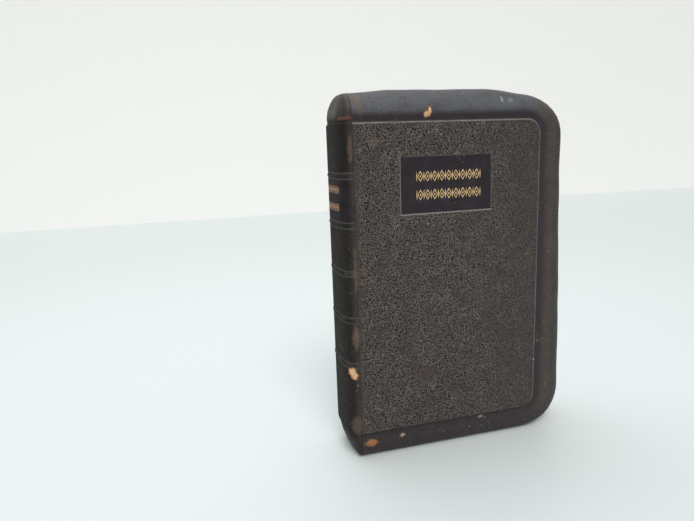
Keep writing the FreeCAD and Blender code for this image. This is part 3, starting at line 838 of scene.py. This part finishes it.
def gold_leaf(name, paint):
    """Gold leaf, rubbed through in specks from its second colour to its first."""
    material, shader, point, _ = new_material(name)
    rubbed = point.noise(1500.0, 3.0, 0.6).rise(0.30, 0.46)
    colour = flat_colour(point, paint[0]).tint(rubbed, paint[1])
    shader.inputs["Metallic"].default_value = 0.55
    finish_material(shader, point, colour, 0.42, point.noise(2200.0), 0.00003)
    return material


class Grower:
    """A geometry node tree being built; pieces are added by kind, settings and inputs."""

    def __init__(self, name, inputs):
        self.tree = bpy.data.node_groups.new(name, "GeometryNodeTree")
        for label, kind in inputs:
            self.tree.interface.new_socket(label, in_out="INPUT", socket_type=kind)
        self.tree.interface.new_socket("Geometry", in_out="OUTPUT", socket_type="NodeSocketGeometry")
        self.given = self.tree.nodes.new("NodeGroupInput").outputs
        self.result = self.tree.nodes.new("NodeGroupOutput").inputs[0]

    def add(self, kind, settings, inputs, output=0):
        made = self.tree.nodes.new(kind)
        for name, value in settings.items():
            setattr(made, name, value)
        for name, value in inputs.items():
            for one in value if isinstance(value, list) else [value]:
                if isinstance(one, bpy.types.NodeSocket):
                    self.tree.links.new(one, made.inputs[name])
                else:
                    made.inputs[name].default_value = one
        return made.outputs[output]


def grow(name, grower, values):
    """Runs a tree on an empty mesh and keeps what it grows as a plain mesh object."""
    holder = bpy.data.objects.new(name, bpy.data.meshes.new(name))
    bpy.context.scene.collection.objects.link(holder)
    modifier = holder.modifiers.new("grow", "NODES")
    modifier.node_group = grower.tree
    for item in grower.tree.interface.items_tree:
        if item.in_out == "INPUT" and item.name in values:
            modifier[item.identifier] = values[item.name]
    ready = holder.evaluated_get(bpy.context.evaluated_depsgraph_get())
    mesh = bpy.data.meshes.new_from_object(ready)
    holder.modifiers.remove(modifier)
    holder.data = mesh
    return holder


def ornament_tree(name, paint):
    """A row of lozenges with dots, each parted by a spindle, in the plane of X and Z."""
    g = Grower(name, [
        ("Width", "NodeSocketFloat"), ("Height", "NodeSocketFloat"),
        ("Count", "NodeSocketInt"), ("Middle", "NodeSocketVector"),
    ])
    width, height, count, middle = (g.given[i] for i in range(4))
    pitch = g.add("ShaderNodeMath", {"operation": "DIVIDE"}, {0: width, 1: count})

    def upright(geometry, sx, sz):
        size = g.add("ShaderNodeCombineXYZ", {}, {0: sx, 1: sz, 2: MM})
        grown = g.add("GeometryNodeTransform", {}, {"Geometry": geometry, "Scale": size})
        return g.add("GeometryNodeTransform", {}, {"Geometry": grown, "Rotation": (math.pi / 2, 0, 0)})

    def times(value, factor):
        return g.add("ShaderNodeMath", {"operation": "MULTIPLY"}, {0: value, 1: factor})

    def square(radius):
        return g.add("GeometryNodeCurvePrimitiveCircle", {}, {"Resolution": 4, "Radius": radius})

    def disc(corners, radius):
        return g.add("GeometryNodeMeshCylinder", {}, {"Vertices": corners, "Radius": radius, "Depth": 0.05})

    def at_x(distance):
        return g.add("ShaderNodeCombineXYZ", {}, {0: distance})

    outline = g.add("GeometryNodeCurveToMesh", {}, {0: square(1.0), 1: square(0.16)})
    flat_outline = g.add("GeometryNodeTransform", {}, {"Geometry": outline, "Scale": (1.0, 1.0, 0.12)})
    lozenge = g.add("GeometryNodeJoinGeometry", {}, {0: [flat_outline, disc(16, 0.24)]})
    lozenge = upright(lozenge, times(pitch, 0.36), times(height, 0.46))
    spindle = upright(disc(4, 1.0), times(pitch, 0.075), times(height, 0.5))
    bead = upright(disc(12, 1.0), times(pitch, 0.10), times(pitch, 0.10))
    parted = g.add("GeometryNodeJoinGeometry", {}, {0: [spindle, bead]})

    half = times(width, 0.5)
    left = at_x(times(half, -1.0))
    right = at_x(half)
    more = g.add("ShaderNodeMath", {"operation": "ADD"}, {0: count, 1: 1.0})
    ends = g.add("GeometryNodeMeshLine", {"mode": "END_POINTS"},
                 {"Count": more, "Start Location": left, "Offset": right})
    inset = g.add("ShaderNodeMath", {"operation": "SUBTRACT"}, {0: half, 1: times(pitch, 0.5)})
    inner_left = at_x(times(inset, -1.0))
    inner_right = at_x(inset)
    cells = g.add("GeometryNodeMeshLine", {"mode": "END_POINTS"},
                  {"Count": count, "Start Location": inner_left, "Offset": inner_right})
    rows_made = [
        g.add("GeometryNodeInstanceOnPoints", {}, {"Points": cells, "Instance": lozenge}),
        g.add("GeometryNodeInstanceOnPoints", {}, {"Points": ends, "Instance": parted}),
    ]
    row = g.add("GeometryNodeJoinGeometry", {}, {0: rows_made})
    row = g.add("GeometryNodeTransform", {}, {"Geometry": row, "Translation": middle})
    row = g.add("GeometryNodeRealizeInstances", {}, {0: row})
    row = g.add("GeometryNodeSetMaterial", {}, {0: row, "Material": paint})
    g.tree.links.new(row, g.result)
    return g


gilt = gold_leaf("gold_leaf", ((0.42, 0.22, 0.09), (0.98, 0.70, 0.36)))
ornaments = ornament_tree("label_ornament", gilt)
label_face = -(panel_y - LABEL_DEPTH) - GILT_LIFT
row_middle = (label_low.x + label_high.x) / 2 + 1.0 * MM
for number, (drop, wide, many) in enumerate(ORNAMENT_ROWS, start=1):
    row = grow(f"label_gilding_{number}", ornaments, {
        "Width": wide, "Height": ROW_HEIGHT, "Count": many,
        "Middle": (row_middle, label_face, panel_head - drop),
    })
    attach(row, "front_cover")


# ----------------------------------------
# Spine gilding: the same two rows, smaller, stamped across the second compartment of the back.
# ----------------------------------------
SPINE_ROW_WIDTH = 17.0 * MM
SPINE_ROWS = (28.6 * MM, 36.4 * MM)
dull_gilt = gold_leaf("dull_gold_leaf", ((0.16, 0.075, 0.045), (0.62, 0.33, 0.17)))
spine_ornaments = ornament_tree("spine_ornament", dull_gilt)


def wrap_on_back(thing):
    """Bends a flat row round the back of the book and turns it to face away from the leaves."""
    path_x, path_y = spine_path(panel_y, SPINE_DEPTH)
    length = np.concatenate([[0], np.cumsum(np.hypot(np.diff(path_x), np.diff(path_y)))])
    for vertex in thing.data.vertices:
        along, off, up = vertex.co
        s = length[-1] / 2 - along
        x, y = np.interp(s, length, path_x), np.interp(s, length, path_y)
        dx = np.interp(s + 1e-4, length, path_x) - np.interp(s - 1e-4, length, path_x)
        dy = np.interp(s + 1e-4, length, path_y) - np.interp(s - 1e-4, length, path_y)
        size = math.hypot(dx, dy)
        out = GILT_LIFT - off
        vertex.co = (joint_x + x - out * dy / size, y + out * dx / size, up)
    thing.data.update()


for number, drop in enumerate(SPINE_ROWS, start=1):
    row = grow(f"spine_gilding_{number}", spine_ornaments, {
        "Width": SPINE_ROW_WIDTH, "Height": 3.6 * MM, "Count": 5,
        "Middle": (0.0, 0.0, panel_head - drop),
    })
    wrap_on_back(row)
    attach(row, "spine")


# ----------------------------------------
# Text block: twelve sewn sections of thin printing paper. Each is folded at the back, bends in
# the gutter and is loose beyond it; the edges are browned by handling.
# ----------------------------------------
LEAF_CORNER = 6.0 * MM
SHEETS = 4                  # folded groups of leaves that show in one section
PAPER_GAP = 0.05 * MM


def paper(name, colour, edge_colour, edge):
    """Laid paper, browner towards the cut edges; edge is the box of the cut sheet."""
    material, shader, point, _ = new_material(name)
    low, high = edge
    z, x = point.axis("z"), point.axis("x")
    near = (z - low.z).most(0.0).maths("MINIMUM", (z - high.z) * -1.0)
    near = near.maths("MINIMUM", (x - high.x) * -1.0)
    cloud = point.noise(60.0, 4.0, 0.6)
    brown = near.rise(0.004, 0.0) * 0.55 + near.rise(0.0006, 0.0) * 0.45
    flat = flat_colour(point, colour).tint(cloud.rise(0.35, 0.8) * 0.12, edge_colour)
    flat = flat.tint(brown, edge_colour)
    fox = point.cells(140.0, "F1", "Distance").rise(0.09, 0.02) * cloud.rise(0.5, 0.62)
    flat = flat.tint(fox * 0.5, (0.32, 0.17, 0.07))
    finish_material(shader, point, flat, 0.85, point.noise(1300.0, 3.0), 0.00002)
    return material


def sheet_outline(x_start, x_end, low_z, high_z, corner, steps=8):
    """Half outline of a sheet as (x, low z, high z) columns, with its two free corners rounded."""
    straight = np.linspace(x_start, x_end - corner, 26)
    angle = np.linspace(0, math.pi / 2, steps + 1)[1:]
    x = np.concatenate([straight, x_end - corner + corner * np.sin(angle)])
    cut = np.concatenate([np.zeros(len(straight)), corner * (1 - np.cos(angle))])
    return x, low_z + cut, high_z - cut


def sheet_mesh(x, low_z, high_z, near_y, far_y):
    """A closed sheet between two surfaces given as one y for each column."""
    levels = np.linspace(0, 1, 12)
    z = low_z[:, None] + levels * (high_z - low_z)[:, None]
    many, each = z.shape
    sides = []
    for y in (near_y, far_y):
        sides.append(as_points(np.repeat(x[:, None], each, 1), np.repeat(y[:, None], each, 1), z))
    other = many * each
    faces = grid_faces(0, (many, each)) + grid_faces(other, (many, each), flip=True)
    loop = [i * each for i in range(many)] + [(many - 1) * each + j for j in range(1, each)]
    loop += [i * each + each - 1 for i in range(many - 2, -1, -1)] + [j for j in range(each - 2, 0, -1)]
    faces += [(loop[k], loop[(k + 1) % len(loop)], loop[(k + 1) % len(loop)] + other, loop[k] + other)
              for k in range(len(loop))]
    return np.vstack(sides), faces


def paper_object(name, pieces, material):
    """One closed-mesh object out of several sheets."""
    points, faces, count = [], [], 0
    for sheet_points, sheet_faces in pieces:
        points.append(sheet_points)
        faces += [tuple(v + count for v in face) for face in sheet_faces]
        count += len(sheet_points)
    thing = link(name, np.vstack(points), faces, {})
    thing.data.polygons.foreach_set("use_smooth", [False] * len(thing.data.polygons))
    outward(thing)
    thing.data.materials.append(material)
    return thing


leaf_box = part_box("section_01_leaves")
page_paper = paper("page_paper", (0.70, 0.62, 0.46), (0.36, 0.25, 0.14), leaf_box)


def section(number):
    """The sheets of one section, nested at the fold and parted slightly at the fore edge."""
    low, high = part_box(f"section_{number:02d}_leaves")
    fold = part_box(f"section_{number:02d}_fold")[0].x
    middle, half = (low.y + high.y) / 2, (high.y - low.y) / 2
    pieces = []
    for k in range(SHEETS):
        outer = half * (1 - k / SHEETS)
        inner = half * (1 - (k + 1) / SHEETS) + PAPER_GAP
        start = fold + (half - outer)
        short = 0.10 * MM * ((k * 7 + number * 3) % 4)
        trim = 0.04 * MM * ((k * 5 + number) % 3)
        x, low_z, high_z = sheet_outline(start, high.x - short, low.z + trim, high.z - trim, LEAF_CORNER)
        rounded = np.sqrt(np.clip(1 - (1 - np.clip((x - start) / outer, 0, 1)) ** 2, 0, 1))
        for sign in (-1, 1):
            last = k == SHEETS - 1
            inside = (0.02 * MM if last else inner)
            near = middle + sign * (inside * rounded)
            far = middle + sign * np.maximum(outer * rounded, inside * rounded + 0.01 * MM)
            pieces.append(sheet_mesh(x, low_z, high_z, near, far))
    return paper_object(f"section_{number:02d}_paper", pieces, page_paper)


for number in range(1, 13):
    body = f"section_{number:02d}"
    block = section(number)
    low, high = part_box(f"{body}_leaves")
    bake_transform(block)
    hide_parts(f"{body}_leaves", f"{body}_fold")


# ----------------------------------------
# Endpapers: a free leaf and a pastedown of the same plain tinted paper at each end.
# ----------------------------------------
def dress(names, material):
    """Gives CAD pieces that stay in sight one material."""
    for name in names:
        thing = bpy.data.objects[name]
        thing.data.materials.clear()
        thing.data.materials.append(material)


end_paper = paper("end_paper", (0.62, 0.55, 0.43), (0.34, 0.25, 0.16), leaf_box)
for where in ("front", "back"):
    low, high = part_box(f"{where}_flyleaf")
    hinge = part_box(f"{where}_flyleaf_hinge")[0]
    x, low_z, high_z = sheet_outline(hinge.x, high.x, low.z, high.z, LEAF_CORNER)
    points, faces = sheet_mesh(x, low_z, high_z, np.full(len(x), low.y), np.full(len(x), high.y))
    leaf = paper_object(f"{where}_free_leaf", [(points, faces)], end_paper)
    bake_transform(leaf)
    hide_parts(f"{where}_flyleaf", f"{where}_flyleaf_hinge")
    dress([f"{where}_pastedown"], end_paper)


# ----------------------------------------
# Boards: two thin grey-brown millboards, cut with rounded corners and glued to the leather. The
# leather's turned-in edges and the pastedowns cover them wholly.
# ----------------------------------------
def plain(name, dark, light, scale, roughness, relief):
    """A plain fibrous material of two tones."""
    material, shader, point, _ = new_material(name)
    fleck = point.noise(scale, 4.0, 0.65)
    colour = flat_colour(point, dark).tint(fleck.rise(0.35, 0.65), light)
    finish_material(shader, point, colour, roughness, fleck, relief)
    return material


dress([f"{where}_cover_board" for where in ("front", "back")],
      plain("millboard", (0.19, 0.16, 0.12), (0.28, 0.24, 0.18), 600.0, 0.9, 0.00008))


# ----------------------------------------
# Back of the text block: mull glued over the folds, a kraft lining, a card stiffener, linen
# tapes with the sewing thread over them, five cords, and a bead of striped cloth at each end.
# ----------------------------------------
def woven(name, dark, light, pitch):
    """Cloth with threads running up and across."""
    material, shader, point, _ = new_material(name)
    up = (point.axis("z") * (math.tau / pitch)).maths("SINE")
    over = (point.axis("y") * (math.tau / pitch)).maths("SINE")
    weave = up.most(over)
    colour = flat_colour(point, dark).tint(weave.rise(-0.2, 0.9), light)
    finish_material(shader, point, colour, 0.9, weave, 0.00008)
    return material


def striped(name, stripes, pitch):
    """Cloth striped across the back of the book."""
    material, shader, point, _ = new_material(name)
    wave = (point.axis("y") * (math.tau / pitch)).maths("SINE")
    colour = flat_colour(point, stripes[0]).tint(wave.rise(-0.15, 0.15), stripes[1])
    finish_material(shader, point, colour, 0.75, point.noise(2500.0), 0.00004)
    return material


linen = woven("linen", (0.50, 0.44, 0.33), (0.70, 0.64, 0.51), 0.0006)
dress(["mull"], woven("mull_cloth", (0.42, 0.38, 0.30), (0.68, 0.63, 0.52), 0.0012))
dress([f"sewing_tape_{n}" for n in (1, 2, 3)], linen)
all_cords = [f"raised_band_{n}" for n in range(1, 6)]
for names, *look in (
    (["sewing_thread"], "thread", (0.62, 0.57, 0.46), (0.75, 0.70, 0.58), 2000.0, 0.7, 0.00003),
    (["back_lining"], "kraft_paper", (0.36, 0.24, 0.13), (0.45, 0.31, 0.18), 500.0, 0.85, 0.00002),
    (["spine_stiffener"], "card", (0.42, 0.36, 0.27), (0.52, 0.46, 0.36), 500.0, 0.85, 0.00002),
    (all_cords, "cord", (0.40, 0.32, 0.20), (0.52, 0.43, 0.29), 900.0, 0.9, 0.0001),
):
    dress(names, plain(*look))
dress(["head_band", "tail_band"], striped("endband_cloth", ((0.33, 0.05, 0.04), (0.66, 0.60, 0.48)), 0.0014))
